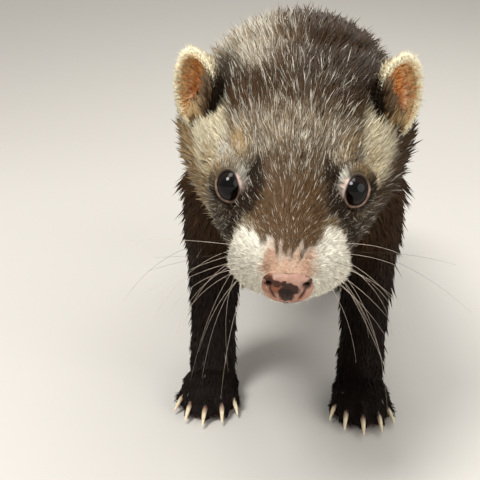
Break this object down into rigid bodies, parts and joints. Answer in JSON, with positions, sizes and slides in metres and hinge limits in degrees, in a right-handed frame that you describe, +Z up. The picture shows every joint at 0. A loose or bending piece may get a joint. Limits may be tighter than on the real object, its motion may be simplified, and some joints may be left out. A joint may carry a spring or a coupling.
{
  "type": "ferret",
  "caption": "Life-size still model of a sable ferret, standing on all four feet with its head held low.",
  "frame": {"origin": "on the floor under the middle of the animal's whole box", "axes": "the nose points along -Y, the tail along +Y, the animal's left side is +X, and +Z is up"},
  "size_m": [0.0825, 0.4126, 0.128],
  "materials": {
    "brown_coat": "grizzled brown fur",
    "pale_coat": "short cream fur",
    "golden_coat": "golden underfur under dark guard hairs",
    "dark_coat": "dark brown fur",
    "ear_skin": "thin downy skin",
    "nose_leather": "moist pink leather, mottled dark",
    "eye": "glossy black",
    "claw": "translucent horn"
  },
  "bodies": {
    "root": {"chest": "golden_coat", "ear_left": "ear_skin", "ear_right": "ear_skin", "eye_left": "eye", "eye_right": "eye", "forearm_left": "dark_coat", "forearm_right": "dark_coat", "foreclaw_left_1": "claw", "foreclaw_left_2": "claw", "foreclaw_left_3": "claw", "foreclaw_left_4": "claw", "foreclaw_left_5": "claw", "foreclaw_right_1": "claw", "foreclaw_right_2": "claw", "foreclaw_right_3": "claw", "foreclaw_right_4": "claw", "foreclaw_right_5": "claw", "forepaw_left": "dark_coat", "forepaw_right": "dark_coat", "head": "brown_coat", "hindclaw_left_1": "claw", "hindclaw_left_2": "claw", "hindclaw_left_3": "claw", "hindclaw_left_4": "claw", "hindclaw_left_5": "claw", "hindclaw_right_1": "claw", "hindclaw_right_2": "claw", "hindclaw_right_3": "claw", "hindclaw_right_4": "claw", "hindclaw_right_5": "claw", "hindpaw_left": "dark_coat", "hindpaw_right": "dark_coat", "loin": "golden_coat", "lower_jaw": "pale_coat", "neck": "dark_coat", "nose": "nose_leather", "shank_left": "dark_coat", "shank_right": "dark_coat", "tail_base": "brown_coat", "tail_tip": "dark_coat", "thigh_left": "dark_coat", "thigh_right": "dark_coat", "upper_arm_left": "dark_coat", "upper_arm_right": "dark_coat"}
  },
  "joints": []
}
